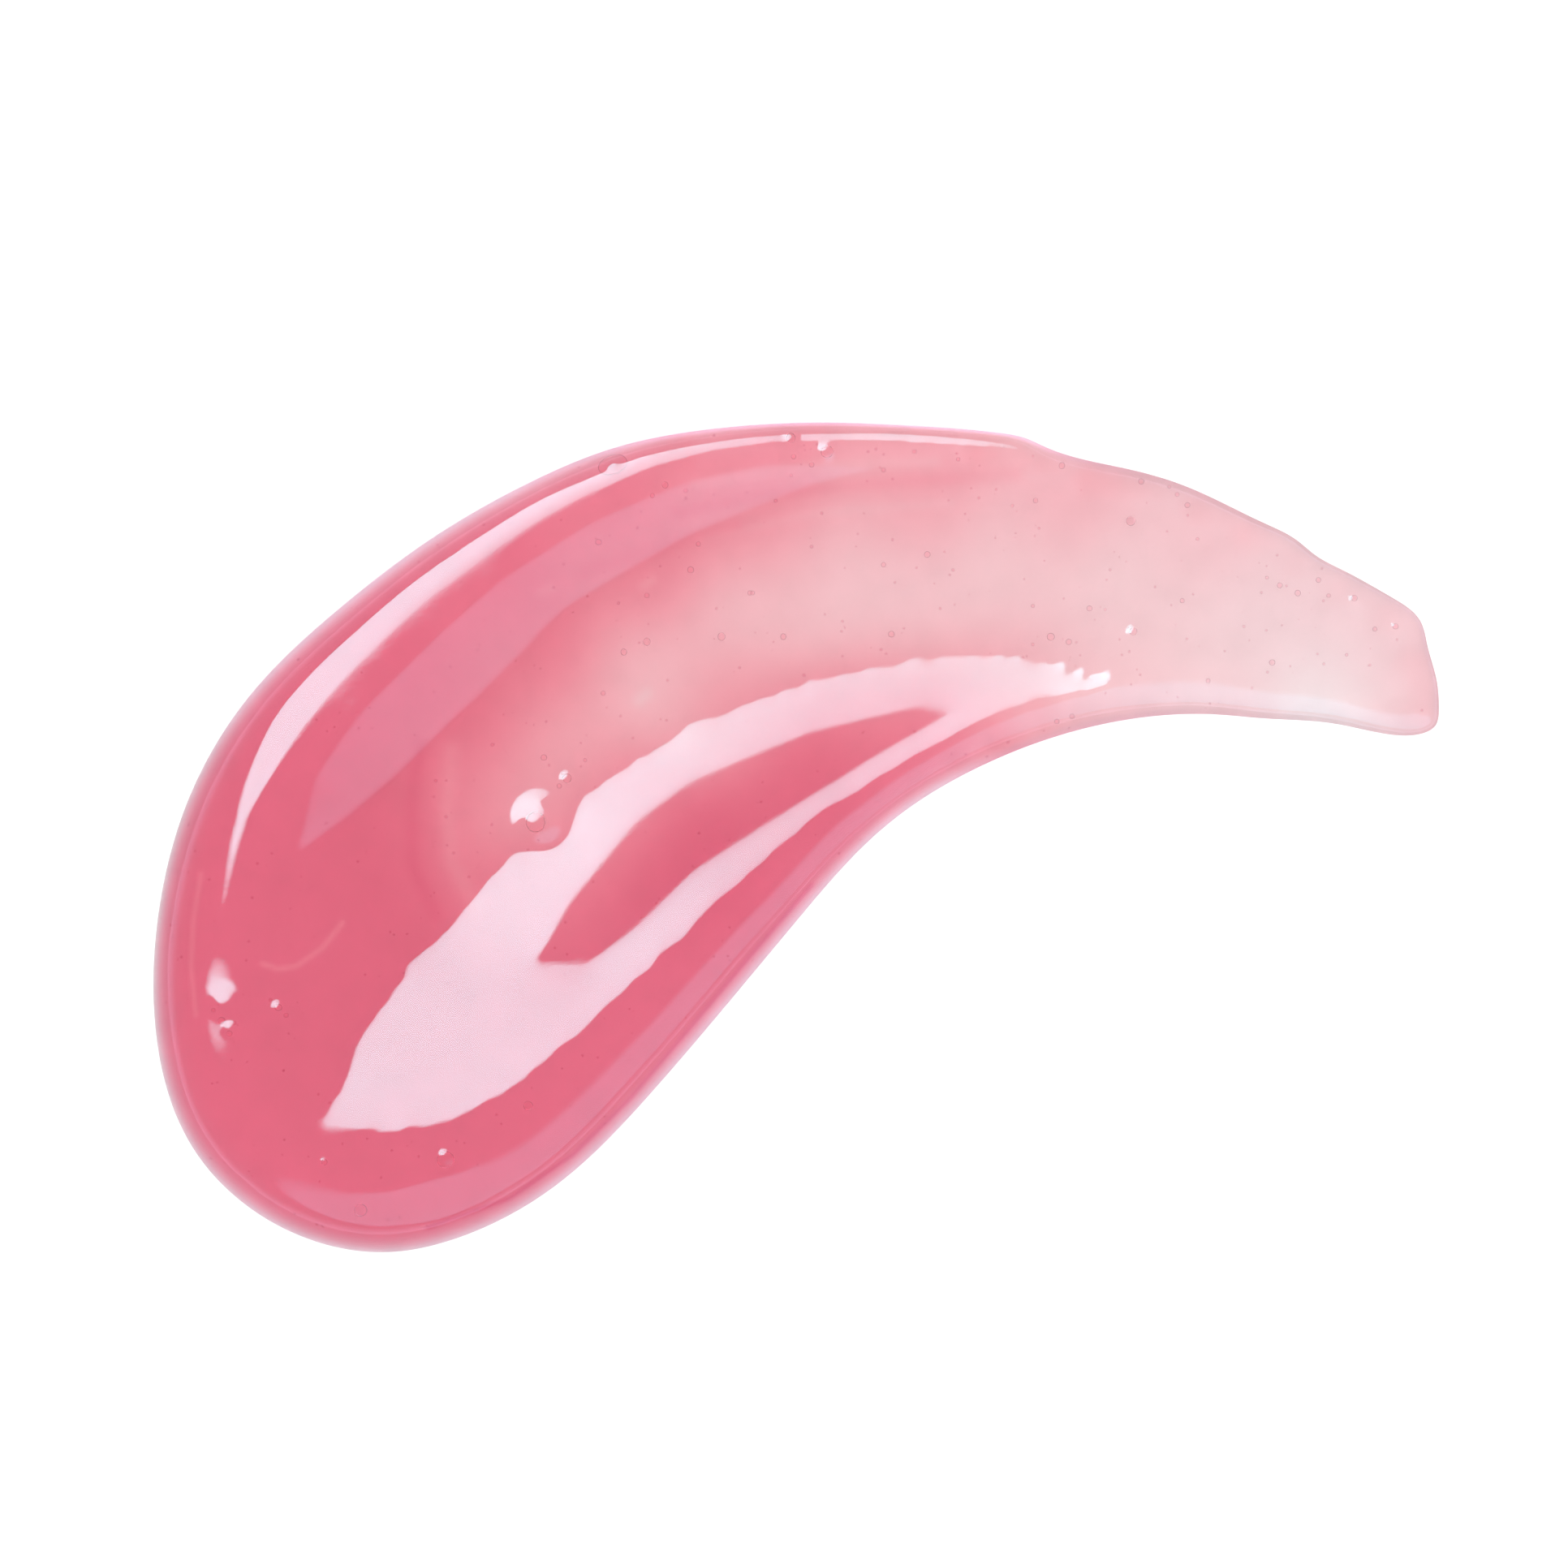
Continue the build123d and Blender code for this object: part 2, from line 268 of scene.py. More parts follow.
def gel_height(x, y, distance):
    """Height of the gel's top, in millimetres, over points at a distance from the contact line."""
    rounding = blend_spots(x, y, RIM_ROUNDING, SPOT_REACH)
    height = RELIEF.at(x, y) * (1 - np.exp(-distance / rounding))
    for dx, dy, radius, rise in DOMES:
        square = ((x - dx) ** 2 + (y - dy) ** 2) / radius**2
        height += rise * np.exp(-DOME_STEEPNESS * square**1.5) * np.minimum(distance / DOME_RIM, 1)
    return height


# ---------------------------------------------------------------- colour
# How deep the pink looks, from 0, clear, to 1, the full colour of the head: x, y, depth
PINK_DEPTH = (
    (-21.5, -3.7, 1.0), (-22.0, -9.0, 1.0), (-17.0, -13.0, 1.0), (-19.0, 2.6, 1.0),
    (-16.1, 6.6, 0.97), (-12.0, 9.8, 0.90), (-7.5, 12.6, 0.80), (-2.0, 14.0, 0.60),
    (4.0, 14.2, 0.48), (10.0, 13.4, 0.33), (15.5, 12.0, 0.24), (20.5, 9.6, 0.18),
    (-17.0, -3.0, 1.0), (-15.0, 1.0, 0.97), (-13.0, 4.0, 0.90), (-10.0, 7.0, 0.74),
    (-6.0, 10.5, 0.62), (-1.0, 12.4, 0.50), (4.0, 12.6, 0.36),
    (-12.0, 1.6, 0.45), (-9.0, 3.5, 0.37), (-6.0, 6.2, 0.29), (-2.0, 8.6, 0.26),
    (3.0, 10.0, 0.21), (8.0, 10.2, 0.22), (13.0, 9.4, 0.19), (17.5, 7.8, 0.15),
    (21.4, 5.8, 0.06), (24.0, 6.2, 0.25), (22.8, 8.2, 0.18),
    (-14.0, -6.0, 1.0), (-11.0, -2.5, 0.80), (-7.0, 1.2, 0.70), (-2.0, 5.0, 0.52),
    (3.5, 5.7, 0.46), (8.5, 6.0, 0.31), (4.2, 8.0, 0.23), (12.0, 6.6, 0.22),
    (-8.5, -6.0, 1.0), (-4.0, -1.5, 1.08), (0.5, 2.0, 1.0), (3.8, 4.0, 0.90), (7.5, 4.2, 0.62),
    (11.5, 5.2, 0.30), (15.5, 5.6, 0.20), (-12.0, -11.5, 1.0), (-3.0, -5.0, 1.0),
    (1.0, -1.0, 0.98), (5.0, 2.4, 0.92), (-2.6, 14.1, 0.66), (0.6, 10.4, 0.26),
)
PINK_REACH = 1.7
# Streaks of deeper or clearer gel, and one painted reflection: half width, change of depth, and points
# along the streak
STREAKS = (
    (0.09, 0.45, ((-14.3, -15.15), (-11.1, -14.0), (-8.65, -12.3), (-6.45, -10.15),
                  (-4.5, -7.85), (-2.0, -4.85), (0.6, -1.85))),
    (0.30, 0.07, ((-4.6, 12.6), (-0.8, 13.4), (3.9, 13.8), (8.5, 14.1))),
    (0.25, -0.07, ((-3.9, 13.7), (0.7, 14.5), (5.4, 14.6))),
    (0.35, 0.06, ((-8.1, 10.3), (-4.6, 11.5), (-2.4, 12.1))),
    (0.20, -0.04, ((-3.6, 11.6), (0.7, 12.6), (6.0, 13.0))),
    (0.30, 0.10, ((-14.6, 3.6), (-14.9, 1.5), (-14.9, -1.0), (-14.0, -3.0))),
    (0.40, -0.12, ((-13.4, 3.4), (-13.6, 1.2), (-13.4, -1.0), (-12.6, -2.4))),
    (0.12, -0.24, ((-20.7, -4.9), (-20.1, -5.1), (-19.4, -5.0), (-18.4, -4.3), (-17.6, -3.3))),
    # This pale line by the left rim is a painted reflection
    (0.10, -0.22, ((-23.1, -1.4), (-23.4, -3.2), (-23.5, -5.0), (-23.3, -6.9))),
    (0.26, -0.09, ((-6.1, 5.3), (-5.8, 5.6))),
    (0.22, -0.09, ((-9.9, 9.5), (-9.5, 9.7))),
    (0.20, -0.09, ((-5.9, 9.8), (-5.6, 10.0))),
)
GREEN_LOSS = 2.43  # optical depth of the full pink, in the green
RED_LOSSES = (0.04, 0.22)  # optical depth in the red: everywhere, and what the full pink adds
BLUE_SHARES = (0.92, 0.73)  # blue loss over green loss, in the thinnest pink and in the full pink
RIM_GLOW_AND_THINNING_REACH = 0.45  # how far in from the contact line the pink is paler: partly the gel thinning out, partly a painted pale glow along the rim
RIM_GLOW_AND_THINNING_POWER = 1.3
GLOW_AND_THINNING_FROM, GLOW_AND_THINNING_FULL = 0.30, 0.85  # pink depths between which that becomes complete
LEAST_GLOW_AND_THINNING = 0.45  # and how complete it is at least
GEL_DENSITY = 250.0  # absorption per metre
GEL_COLOR = (0.93, 0.20, 0.36)


def line_distance(x, y, line):
    """Distance to the nearest point of a chain of straight runs."""
    nearest = np.full(x.shape, np.inf)
    for (ax, ay), (bx, by) in zip(line, line[1:]):
        dx, dy = bx - ax, by - ay
        share = np.clip(((x - ax) * dx + (y - ay) * dy) / (dx * dx + dy * dy), 0.0, 1.0)
        nearest = np.minimum(nearest, np.hypot(x - ax - share * dx, y - ay - share * dy))
    return nearest


def gel_tint(x, y, height, distance):
    """Surface tint that, with the gel's own absorption, gives the pink depth at each point."""
    full = blend_spots(x, y, PINK_DEPTH, PINK_REACH)
    for width, change, line in STREAKS:
        full += change * np.exp(-(line_distance(x, y, line) / width) ** 2)
    # Paler pink near the contact line: partly the thinner gel there, partly painted light, a pale glow
    # along the rim
    glow_and_thinning = np.clip((full - GLOW_AND_THINNING_FROM) / (GLOW_AND_THINNING_FULL - GLOW_AND_THINNING_FROM), LEAST_GLOW_AND_THINNING, 1.0)
    depth = full * (1 - glow_and_thinning * np.exp(-(distance / RIM_GLOW_AND_THINNING_REACH) ** RIM_GLOW_AND_THINNING_POWER))
    green = GREEN_LOSS * depth
    share = BLUE_SHARES[0] + (BLUE_SHARES[1] - BLUE_SHARES[0]) * full
    wanted = np.stack([RED_LOSSES[0] + RED_LOSSES[1] * depth**2, green, share * green], axis=1)
    own = (1 - np.array(GEL_COLOR)) * GEL_DENSITY * MM * 2  # light goes down and up through it
    return np.exp(-np.maximum(wanted - own * height[:, None], 0.0))


# ---------------------------------------------------------------- meshes
GRID_STEP = 0.14
RIM_RINGS = (0.03, 0.07, 0.12, 0.18, 0.25, 0.33, 0.41, 0.50, 0.59, 0.68, 0.78, 0.88)
GRID_INSET = 0.95
UNDERSIDE_STEP = 1.2
UNDERSIDE_INSET = 0.8
RING_CLEARANCE = 0.9  # a ring keeps its points at this share of its depth, or more, from the line


def rim_rings(line):
    """Rings of points inside the contact line, closer together the nearer they are to it."""
    ahead = np.roll(line, -1, axis=0) - np.roll(line, 1, axis=0)
    inward = np.stack([ahead[:, 1], -ahead[:, 0]], axis=1) / np.hypot(*ahead.T)[:, None]
    rings = []
    for depth in RIM_RINGS:
        ring = line[::2] + depth * inward[::2]
        clear = rim_distance(ring[:, 0], ring[:, 1]) > RING_CLEARANCE * depth
        rings.append(ring[clear])
    return np.vstack(rings)


def grid_points(line, step, inset):
    """A triangular grid of points at least inset inside the contact line."""
    low, high = line.min(axis=0), line.max(axis=0)
    rows = np.arange(low[1], high[1], step * math.sqrt(3) / 2)
    x = np.arange(low[0], high[0], step)
    xs = np.concatenate([x + (step / 2 if i % 2 else 0.0) for i in range(len(rows))])
    ys = np.repeat(rows, len(x))
    keep = inside([tuple(p) for p in line[::4]], xs, ys)
    xs, ys = xs[keep], ys[keep]
    deep = rim_distance(xs, ys) > inset
    return np.stack([xs[deep], ys[deep]], axis=1)


def triangles(line, inner):
    """Triangles over the contact line and the inner points, and the points that they use."""
    points = [Vector(p) for p in np.vstack([line, inner])]
    count = len(line)
    edges = [(i, (i + 1) % count) for i in range(count)]
    result = delaunay_2d_cdt(points, edges, [], 1, 1e-7)
    return np.array([tuple(p) for p in result[0]]), [tuple(face) for face in result[2]]


def mesh_object(name, vertices, faces, smooth=True):
    mesh = bpy.data.meshes.new(name)
    mesh.from_pydata([tuple(v) for v in vertices], [], [tuple(f) for f in faces])
    mesh.update()
    for polygon in mesh.polygons:
        polygon.use_smooth = smooth
    piece = bpy.data.objects.new(name, mesh)
    bpy.context.scene.collection.objects.link(piece)
    return piece


def build_gel():
    """The whole gel as one closed mesh: a fine top and a flat underside that share the rim."""
    inner = np.vstack([rim_rings(LINE), grid_points(LINE, GRID_STEP, GRID_INSET)])
    top, top_faces = triangles(LINE, inner)
    low, low_faces = triangles(LINE, grid_points(LINE, UNDERSIDE_STEP, UNDERSIDE_INSET))
    rim = len(LINE)
    distance = rim_distance(top[:, 0], top[:, 1])
    distance[:rim] = 0.0
    height = gel_height(top[:, 0], top[:, 1], distance)
    vertices = np.column_stack([top, height])
    under = np.column_stack([low[rim:], np.zeros(len(low) - rim)])
    shift = len(top) - rim
    faces = list(top_faces)
    faces += [tuple(i if i < rim else i + shift for i in reversed(f)) for f in low_faces]
    piece = mesh_object("gel", np.vstack([vertices, under]) * MM, faces)
    mesh = piece.data
    for edge in mesh.edges:
        a, b = edge.vertices
        if a < rim and b < rim and abs(a - b) in (1, rim - 1):
            edge.use_edge_sharp = True
    tint = np.ones((len(vertices) + len(under), 4))
    tint[:len(top), :3] = gel_tint(top[:, 0], top[:, 1], height, distance)
    layer = mesh.color_attributes.new("tint", "FLOAT_COLOR", "POINT")
    layer.data.foreach_set("color", tint.ravel())
    return piece


# ---------------------------------------------------------------- air bubbles
# Every CAD bubble node: how high its bubbles lie, as a share of the gel's height, then the
# x, y and radius of each in millimetres
BUBBLES = {
    "bubble_head_dome": (0.60, ((-10.1, 0.6, 0.41),)),
    "bubble_dome_companion": (0.70, ((-8.9, 2.3, 0.19),)),
    "bubble_top_rim": (0.50, ((1.2, 15.0, 0.25),)),
    "bubble_top_edge": (0.50, ((-0.2, 15.5, 0.17),)),
    "bubble_lower_ridge": (0.75, ((-13.6, -12.5, 0.35),)),
    "bubble_ridge_crest": (0.85, ((-10.4, -10.4, 0.19),)),
    "bubble_head_bottom": (0.60, ((-16.9, -14.4, 0.25),)),
    "bubble_head_small": (0.80, ((-18.3, -12.6, 0.12),)),
    "bubble_tail_glint": (0.50, ((13.1, 8.0, 0.15),)),
    "bubble_tail_top": (0.50, ((13.0, 12.3, 0.19),)),
    "bubble_tail_edge": (0.50, ((21.7, 9.3, 0.12),)),
    "bubble_tail_corner": (0.50, ((23.3, 8.2, 0.11),)),
    "bubble_rim_oval": (0.50, ((-7.1, 14.4, 0.36),)),
    "bubbles_left_cluster": (0.80, (
        (-22.3, -7.1, 0.16), (-22.0, -7.6, 0.13), (-22.6, -6.7, 0.09), (-21.8, -7.2, 0.08))),
    "bubbles_left_star": (0.80, (
        (-20.1, -6.6, 0.14), (-19.8, -6.9, 0.10), (-20.4, -6.3, 0.08))),
    "bubbles_valley": (0.55, (
        (-2.9, 7.8, 0.17), (-5.8, 7.6, 0.16), (-6.7, 7.2, 0.14), (-0.5, 7.8, 0.13),
        (3.7, 7.9, 0.14), (9.9, 7.8, 0.16), (10.6, 7.6, 0.13))),
    "bubbles_upper_valley": (0.55, (
        (-4.1, 10.4, 0.13), (-5.8, 9.4, 0.11), (-1.7, 9.5, 0.10), (-3.8, 11.4, 0.10),
        (5.1, 11.0, 0.13), (3.4, 10.6, 0.10), (-7.7, 11.5, 0.13))),
    "bubbles_under_ridge": (0.55, (
        (-5.1, 13.7, 0.13), (-5.6, 13.3, 0.10), (-4.3, 13.5, 0.09), (-0.1, 14.8, 0.11),
        (0.6, 14.5, 0.11), (3.4, 14.3, 0.10), (6.3, 14.7, 0.09))),
    "bubbles_head_valley": (0.60, (
        (-9.8, 3.1, 0.13), (-9.2, 2.0, 0.11), (-7.5, 5.6, 0.10), (-8.2, 3.0, 0.08))),
    "bubbles_tail_rim": (0.50, (
        (10.3, 14.4, 0.12), (13.4, 13.8, 0.12), (15.2, 12.9, 0.12), (14.8, 13.3, 0.09),
        (9.3, 13.1, 0.11))),
    "bubbles_tail": (0.50, (
        (18.8, 9.8, 0.12), (19.5, 9.5, 0.13), (20.3, 10.0, 0.11), (20.7, 9.4, 0.09),
        (22.5, 8.1, 0.10), (18.5, 6.8, 0.13), (16.0, 6.1, 0.10))),
    "bubbles_lower_tail": (0.50, (
        (10.1, 4.6, 0.11), (10.7, 4.8, 0.10), (11.4, 8.9, 0.12), (15.0, 9.2, 0.10))),
}
# Smaller bubbles that the CAD leaves out: x, y, radius
FINE_BUBBLES = (
    (-1.8, 9.5, 0.10), (0.6, 11.3, 0.07), (-0.2, 14.1, 0.07), (-4.3, 13.2, 0.06),
    (3.3, 7.3, 0.06), (-9.6, 2.8, 0.06), (-2.2, 6.6, 0.06), (0.3, 6.3, 0.07),
    (-0.8, 13.1, 0.08), (1.0, 12.6, 0.07), (4.6, 15.0, 0.09), (2.8, 15.0, 0.06),
    (3.1, 15.1, 0.06), (3.4, 14.9, 0.05), (14.5, 13.6, 0.08), (8.4, 12.9, 0.07),
    (6.1, 10.4, 0.07), (9.2, 9.0, 0.08), (9.2, 7.5, 0.07), (10.6, 4.3, 0.06),
    (8.2, 3.8, 0.06), (4.6, 4.1, 0.06), (15.6, 11.6, 0.07), (18.3, 10.1, 0.07),
    (20.5, 9.2, 0.06), (21.4, 7.1, 0.07), (22.3, 6.7, 0.06), (-11.8, 3.6, 0.07),
    (-14.0, 2.2, 0.07), (-13.6, 0.8, 0.07), (-13.3, -0.6, 0.06), (7.1, 13.2, 0.06),
    (2.4, 11.8, 0.05), (-3.1, 8.9, 0.06), (5.6, 8.9, 0.06), (12.2, 10.4, 0.06),
    (-6.9, 9.1, 0.06), (17.4, 8.2, 0.06), (1.8, 8.4, 0.06), (-5.0, 6.1, 0.06),
)
FINE_SHARE = 0.55  # how high the fine bubbles and the specks lie, as a share of the gel's height
SPECK_SHARE = 0.60
SPECK_COUNT = 900
SPECK_RADII = (0.02, 0.06)
SPECK_SMALLNESS = 2.5  # the higher, the more of them are near the smallest radius
SPECK_RIM = 0.25  # how near to the contact line a speck may be
BUBBLE_COVER = 0.02  # least gel over and under a bubble
OUT_OF_ROUND = (0.88, 1.0)
FLATTENED = (1.0, 1.0, 0.95)
# A bubble's stretch along x, y and z, and its turn in degrees: the usual, and the flattened one's
ROUND = ((1.0, 1.0, 1.0), 0.0)
OVAL = ((1.67, 1.0, 0.61), 20.0)


def air_shells(name, spots, share, detail, random, shape=ROUND):
    """One mesh of closed bubble skins, each seen from the gel side, a little out of round."""
    stretch, turn = shape
    template = bmesh.new()
    bmesh.ops.create_icosphere(template, subdivisions=detail, radius=1.0)
    ball = np.array([tuple(v.co) for v in template.verts])
    faces = [tuple(v.index for v in reversed(f.verts)) for f in template.faces]
    template.free()
    cos, sin = math.cos(math.radians(turn)), math.sin(math.radians(turn))
    turned = ((cos, sin, 0), (-sin, cos, 0), (0, 0, 1))
    x, y, radii = np.array(spots).T
    heights = gel_height(x, y, rim_distance(x, y))
    vertices, all_faces = [], []
    for a, b, radius, height in zip(x, y, radii, heights):
        squash = random.uniform(*OUT_OF_ROUND, 3) * FLATTENED
        radius = min(radius, (height - 2 * BUBBLE_COVER) / 2 / stretch[2])
        half = radius * stretch[2]
        lift = min(max(share * height, half + BUBBLE_COVER), height - half - BUBBLE_COVER)
        all_faces += [tuple(i + len(vertices) * len(ball) for i in face) for face in faces]
        skin = ball * squash * radius * stretch @ turned
        vertices.append(skin + (a, b, lift))
    return mesh_object(name, np.vstack(vertices) * MM, all_faces)


def speck_spots(random):
    """Seeded places all over the gel for the finest bubbles, mostly tiny ones."""
    low, high = LINE.min(axis=0), LINE.max(axis=0)
    x = random.uniform(low[0], high[0], 4 * SPECK_COUNT)
    y = random.uniform(low[1], high[1], 4 * SPECK_COUNT)
    within = inside([tuple(p) for p in LINE[::4]], x, y)
    x, y = x[within], y[within]
    clear = rim_distance(x, y) > SPECK_RIM
    x, y = x[clear][:SPECK_COUNT], y[clear][:SPECK_COUNT]
    small, large = SPECK_RADII
    radii = small + (large - small) * random.random(len(x)) ** SPECK_SMALLNESS
    return np.stack([x, y, radii], axis=1)


# ---------------------------------------------------------------- materials
GEL_IOR = 1.46
AIR_IOR = 1.13  # less than the gel's, which keeps the dark ring round a bubble as thin as it looks
GEL_CLEARNESS = 0.85  # the share of the light that goes into the gel; the rest shows its tint
GEL_SHEEN = 0.55  # the pale pink bloom where the gel is seen at a low angle, as along its rim
GEL_SHEEN_ROUGHNESS = 0.35
GEL_SHEEN_TINT = (1.0, 0.30, 0.80)
UNEVEN_TINT = (0.965, 1.035)
UNEVEN_ROUGHNESS = (0.012, 0.030)
CLOUD_SCALE = 900.0  # noise patches per metre: of the gel's colour, of its skin, and of the painted shade on the bubbles
SKIN_SCALE = 5000.0
BUBBLE_SHADE_SCALE = 3000.0
SKIN_RELIEF = 0.002 * MM
# Pink tint on the bubble skins, at the two ends of its noise: painted shade, for the deeper pink that
# light bent round a bubble picks up in the gel
BUBBLE_SHADE_TINTS = ((1.0, 0.70, 0.77), (1.0, 0.86, 0.90))
NOISE_RANGE = (0.25, 0.75)  # where nearly all values of the noise lie


def gel_material():
    """Clear tinted gel: faintly uneven in colour and gloss, and absorbing through its depth."""
    material = bpy.data.materials.new("gloss_gel")
    material.use_nodes = True
    nodes, links = material.node_tree.nodes, material.node_tree.links
    shader = nodes["Principled BSDF"]
    shader.inputs["IOR"].default_value = GEL_IOR
    shader.inputs["Transmission Weight"].default_value = GEL_CLEARNESS
    shader.inputs["Sheen Weight"].default_value = GEL_SHEEN
    shader.inputs["Sheen Roughness"].default_value = GEL_SHEEN_ROUGHNESS
    shader.inputs["Sheen Tint"].default_value = (*GEL_SHEEN_TINT, 1.0)
    place = nodes.new("ShaderNodeTexCoord").outputs["Object"]
    tint = nodes.new("ShaderNodeAttribute")
    tint.attribute_name = "tint"
    cloud = noise_node(nodes, links, place, CLOUD_SCALE, 3.0)
    evenness = ramp_between(nodes, links, cloud, NOISE_RANGE, UNEVEN_TINT)
    mix = nodes.new("ShaderNodeVectorMath")
    mix.operation = "SCALE"
    links.new(tint.outputs["Color"], mix.inputs[0])
    links.new(evenness, mix.inputs["Scale"])
    links.new(mix.outputs["Vector"], shader.inputs["Base Color"])
    roughness = ramp_between(nodes, links, cloud, NOISE_RANGE, UNEVEN_ROUGHNESS)
    links.new(roughness, shader.inputs["Roughness"])
    bump = nodes.new("ShaderNodeBump")
    bump.inputs["Strength"].default_value = 0.5
    bump.inputs["Distance"].default_value = SKIN_RELIEF
    links.new(noise_node(nodes, links, place, SKIN_SCALE, 2.0), bump.inputs["Height"])
    links.new(bump.outputs["Normal"], shader.inputs["Normal"])
    volume = nodes.new("ShaderNodeVolumeAbsorption")
    volume.inputs["Color"].default_value = (*GEL_COLOR, 1.0)
    volume.inputs["Density"].default_value = GEL_DENSITY
    links.new(volume.outputs["Volume"], nodes["Material Output"].inputs["Volume"])
    return material


def air_material():
    """The skin between the gel and a bubble, with a faintly uneven pink tint: painted shade, the deeper
    pink that light bent round a bubble picks up in the gel.
    """
    material = bpy.data.materials.new("trapped_air")
    material.use_nodes = True
    nodes, links = material.node_tree.nodes, material.node_tree.links
    shader = nodes["Principled BSDF"]
    shader.inputs["Roughness"].default_value = 0.0
    shader.inputs["IOR"].default_value = AIR_IOR
    shader.inputs["Transmission Weight"].default_value = 1.0
    place = nodes.new("ShaderNodeTexCoord").outputs["Object"]
    ramp = nodes.new("ShaderNodeValToRGB")
    for element, tint in zip(ramp.color_ramp.elements, BUBBLE_SHADE_TINTS):
        element.color = (*tint, 1.0)
    links.new(noise_node(nodes, links, place, BUBBLE_SHADE_SCALE, 2.0), ramp.inputs["Fac"])
    links.new(ramp.outputs["Color"], shader.inputs["Base Color"])
    return material


def noise_node(nodes, links, place, scale, detail):
    noise = nodes.new("ShaderNodeTexNoise")
    noise.inputs["Scale"].default_value = scale
    noise.inputs["Detail"].default_value = detail
    links.new(place, noise.inputs["Vector"])
    return noise.outputs["Fac"]


def ramp_between(nodes, links, value, span, results):
    """A value carried over from one span to another, and held at its ends."""
    node = nodes.new("ShaderNodeMapRange")
    node.inputs["From Min"].default_value = span[0]
    node.inputs["From Max"].default_value = span[1]
    node.inputs["To Min"].default_value = results[0]
    node.inputs["To Max"].default_value = results[1]
    links.new(value, node.inputs["Value"])
    return node.outputs["Result"]


def floor_material():
    """Matt white, with no gloss of its own."""
    material = bpy.data.materials.new("floor_white")
    material.use_nodes = True
    shader = material.node_tree.nodes["Principled BSDF"]
    shader.inputs["Base Color"].default_value = (FLOOR_WHITE, FLOOR_WHITE, FLOOR_WHITE, 1.0)
    shader.inputs["Roughness"].default_value = 0.9
    shader.inputs["Specular IOR Level"].default_value = 0.0
    return material


# ---------------------------------------------------------------- pieces
gel = build_gel()
gel.data.materials.append(gel_material())
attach(gel, "root")
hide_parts("gloss_smear")

AIR = air_material()
draws = np.random.default_rng(11)


def place_air(piece):
    piece.data.materials.append(AIR)
    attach(piece, "root")


for node, (share, spots) in BUBBLES.items():
    shape = OVAL if node == "bubble_rim_oval" else ROUND
    detail = 4 if len(spots) == 1 else 3
    bubbles = air_shells("air_" + node, spots, share, detail, draws, shape)
    place_air(bubbles)
    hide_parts(node)
place_air(air_shells("air_fine_bubbles", FINE_BUBBLES, FINE_SHARE, 3, draws))
place_air(air_shells("air_specks", speck_spots(draws), SPECK_SHARE, 2, draws))

# ---------------------------------------------------------------- stage, light and camera
FLOOR_GAP = 0.03 * MM
FLOOR_HALF = 0.6
FLOOR_WHITE = 0.95


def build_floor():
    """A plain white sheet, a hair under the gel."""
    half = FLOOR_HALF
    corners = [(-half, -half, 0), (half, -half, 0), (half, half, 0), (-half, half, 0)]
    floor = mesh_object("floor", corners, [(0, 1, 2, 3)], smooth=False)
    floor.location.z = -FLOOR_GAP
    floor.data.materials.append(floor_material())


# The two round studio lights: azimuth in degrees, spread from the vertical, radii at unit height
# where the light starts and where it is full, and colour times brightness. They are so far off
# that they are drawn on the world itself.
KEY_LIGHT = (127, 0.50, 0.40, 0.35, (4.9, 14.5, 15.6))
FILL_LIGHT = (-62, 1.60, 1.42, 1.27, (0.4, 2.0, 2.6))
# The key light is dimmer on one side: the range of x at unit height, and the share left there
KEY_SHADE = (-0.16, 0.02, 0.55)
# The low wall of light all round: where it starts and where it is full, and its brightness
WALL_LIGHT = (0.30, 0.0, (1.2, 1.6, 2.2))
SOFT_LIGHT = 1.57  # the even white light
LOWEST_LIGHT = 0.05  # directions lower than this count as this low


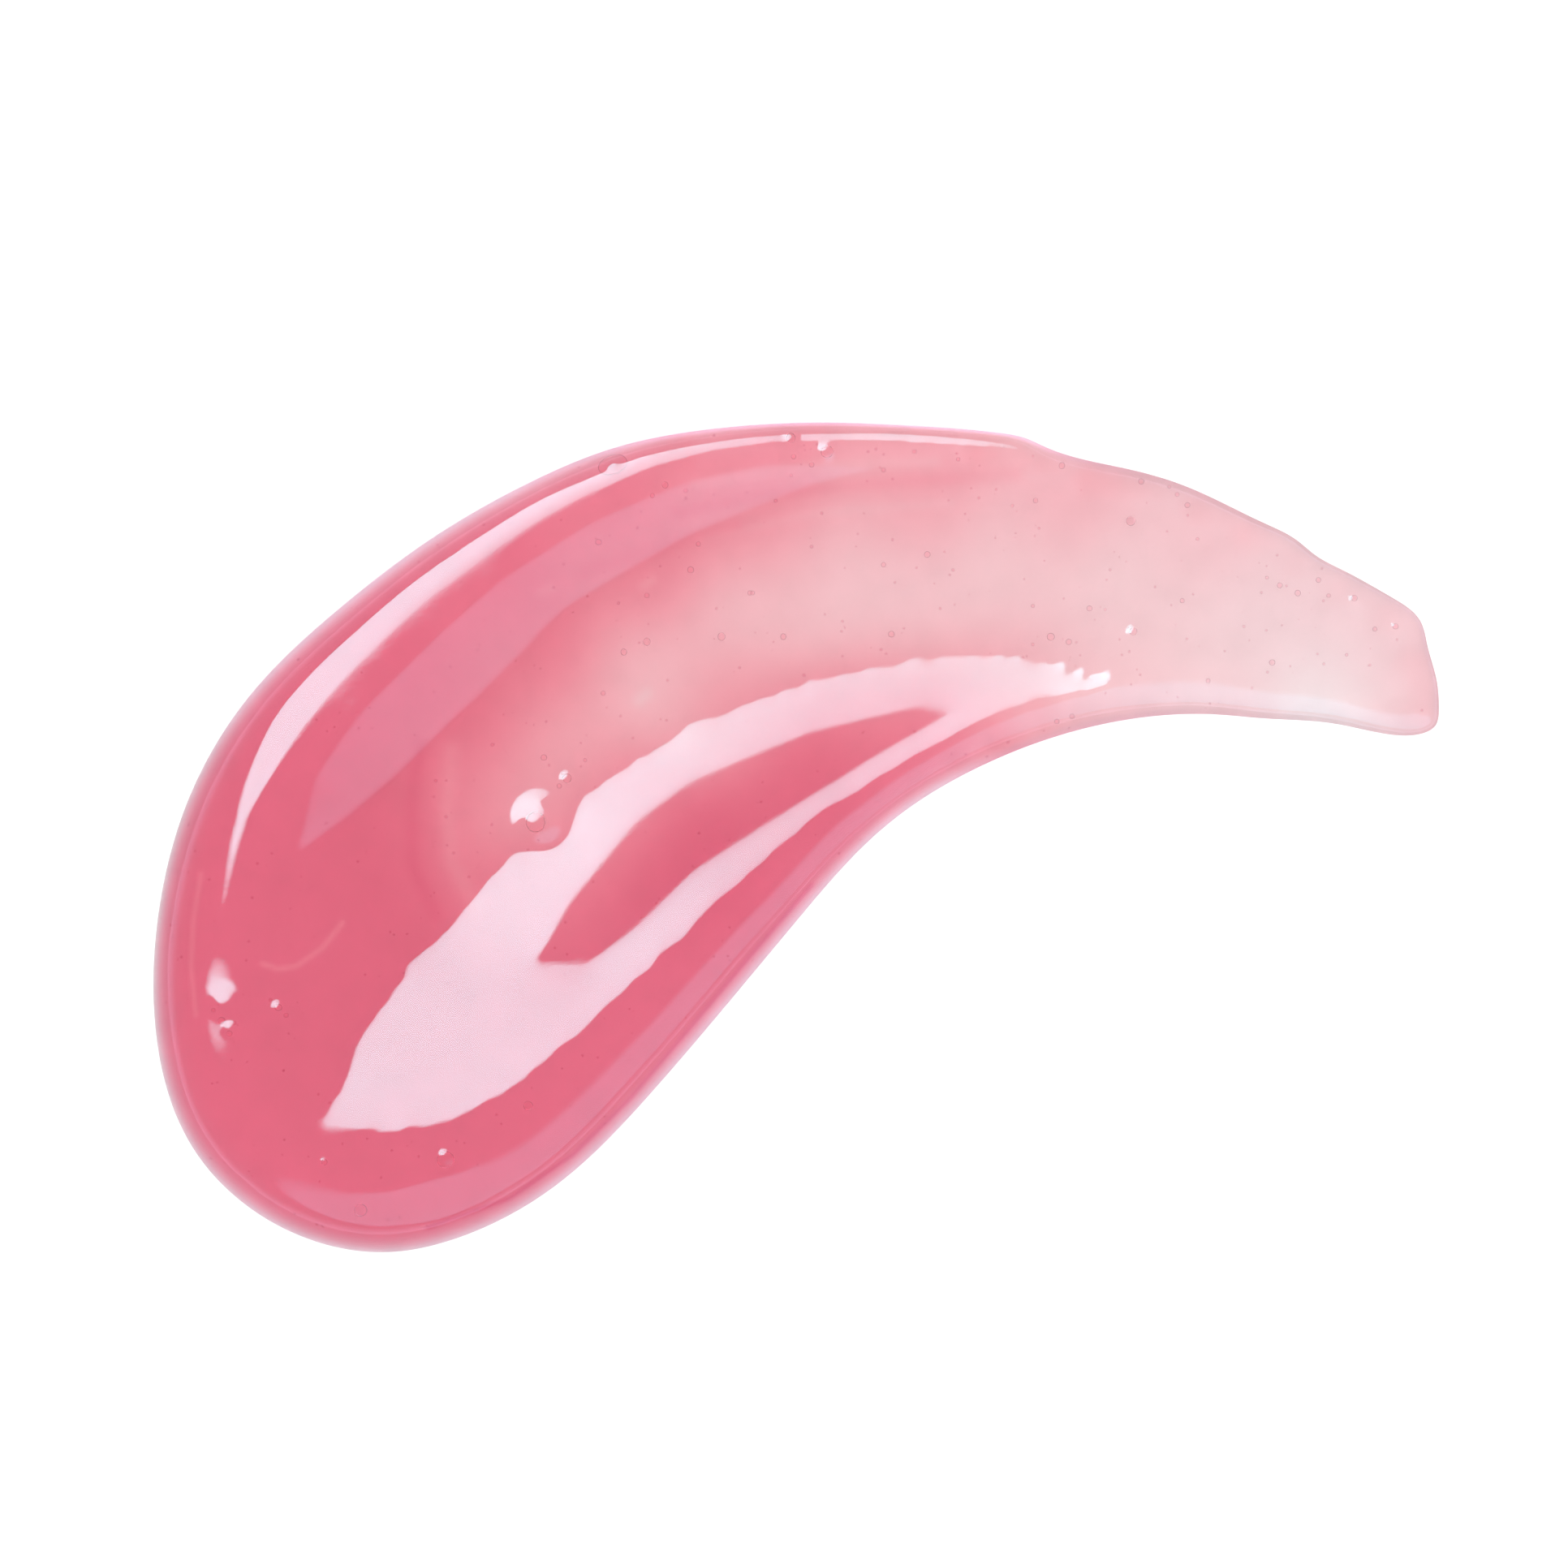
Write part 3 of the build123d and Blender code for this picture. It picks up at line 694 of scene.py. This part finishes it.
def build_world():
    """Even white light; mirror reflections also see the round lights and the wall."""
    world = bpy.data.worlds.new("studio")
    world.use_nodes = True
    nodes, links = world.node_tree.nodes, world.node_tree.links
    background = nodes["Background"]

    def math_node(operation, *values):
        node = nodes.new("ShaderNodeMath")
        node.operation = operation
        for socket, value in zip(node.inputs, values):
            if isinstance(value, bpy.types.NodeSocket):
                links.new(value, socket)
            else:
                socket.default_value = value
        return node.outputs[0]

    direction = nodes.new("ShaderNodeTexCoord").outputs["Generated"]
    split = nodes.new("ShaderNodeSeparateXYZ")
    links.new(direction, split.inputs[0])
    up = math_node("MAXIMUM", split.outputs["Z"], LOWEST_LIGHT)
    at_unit_height = nodes.new("ShaderNodeVectorMath")
    at_unit_height.operation = "SCALE"
    links.new(direction, at_unit_height.inputs[0])
    links.new(math_node("DIVIDE", 1.0, up), at_unit_height.inputs["Scale"])
    path = nodes.new("ShaderNodeLightPath")
    depth = math_node("ADD", path.outputs["Diffuse Depth"], path.outputs["Transmission Depth"])
    mirrored = math_node("GREATER_THAN", path.outputs["Is Glossy Ray"], depth)
    sideways = nodes.new("ShaderNodeSeparateXYZ")
    links.new(at_unit_height.outputs["Vector"], sideways.inputs[0])
    bright, dim, share_left = KEY_SHADE
    shade = ramp_between(nodes, links, sideways.outputs["X"], (bright, dim), (1.0, share_left))
    lights = []
    for (azimuth, spread, start, full, color), dimming in ((KEY_LIGHT, shade), (FILL_LIGHT, 1.0)):
        angle = math.radians(azimuth)
        away = nodes.new("ShaderNodeVectorMath")
        away.operation = "DISTANCE"
        links.new(at_unit_height.outputs["Vector"], away.inputs[0])
        away.inputs[1].default_value = (spread * math.cos(angle), spread * math.sin(angle), 1.0)
        lights.append((away.outputs["Value"], start, full, color, dimming))
    lights.append((split.outputs["Z"], *WALL_LIGHT, 1.0))
    total = None
    for measure, start, full, color, dimming in lights:
        light = ramp_between(nodes, links, measure, (start, full), (0.0, 1.0))
        seen = math_node("MULTIPLY", light, mirrored)
        add = nodes.new("ShaderNodeVectorMath")
        add.operation = "MULTIPLY_ADD"
        links.new(math_node("MULTIPLY", seen, dimming), add.inputs[0])
        add.inputs[1].default_value = color
        if total is None:
            add.inputs[2].default_value = (SOFT_LIGHT, SOFT_LIGHT, SOFT_LIGHT)
        else:
            links.new(total, add.inputs[2])
        total = add.outputs["Vector"]
    links.new(total, background.inputs["Color"])
    background.inputs["Strength"].default_value = 1.0
    bpy.context.scene.world = world


VIEW_WIDTH = 60.985 * MM
VIEW_CENTRE = (-0.47 * MM, 2.08 * MM)
CAMERA_HEIGHT = 0.8
SENSOR_WIDTH = 36.0


def build_camera():
    """Straight above, on a long lens, framed as wide as the photograph is."""
    camera = bpy.data.cameras.new("camera")
    camera.sensor_width = SENSOR_WIDTH
    camera.lens = SENSOR_WIDTH * CAMERA_HEIGHT / VIEW_WIDTH
    camera.clip_start = 0.01
    rig = bpy.data.objects.new("camera", camera)
    rig.location = (*VIEW_CENTRE, CAMERA_HEIGHT)
    bpy.context.scene.collection.objects.link(rig)
    bpy.context.scene.camera = rig


build_floor()
build_world()
build_camera()
bpy.context.scene.view_settings.view_transform = "Standard"
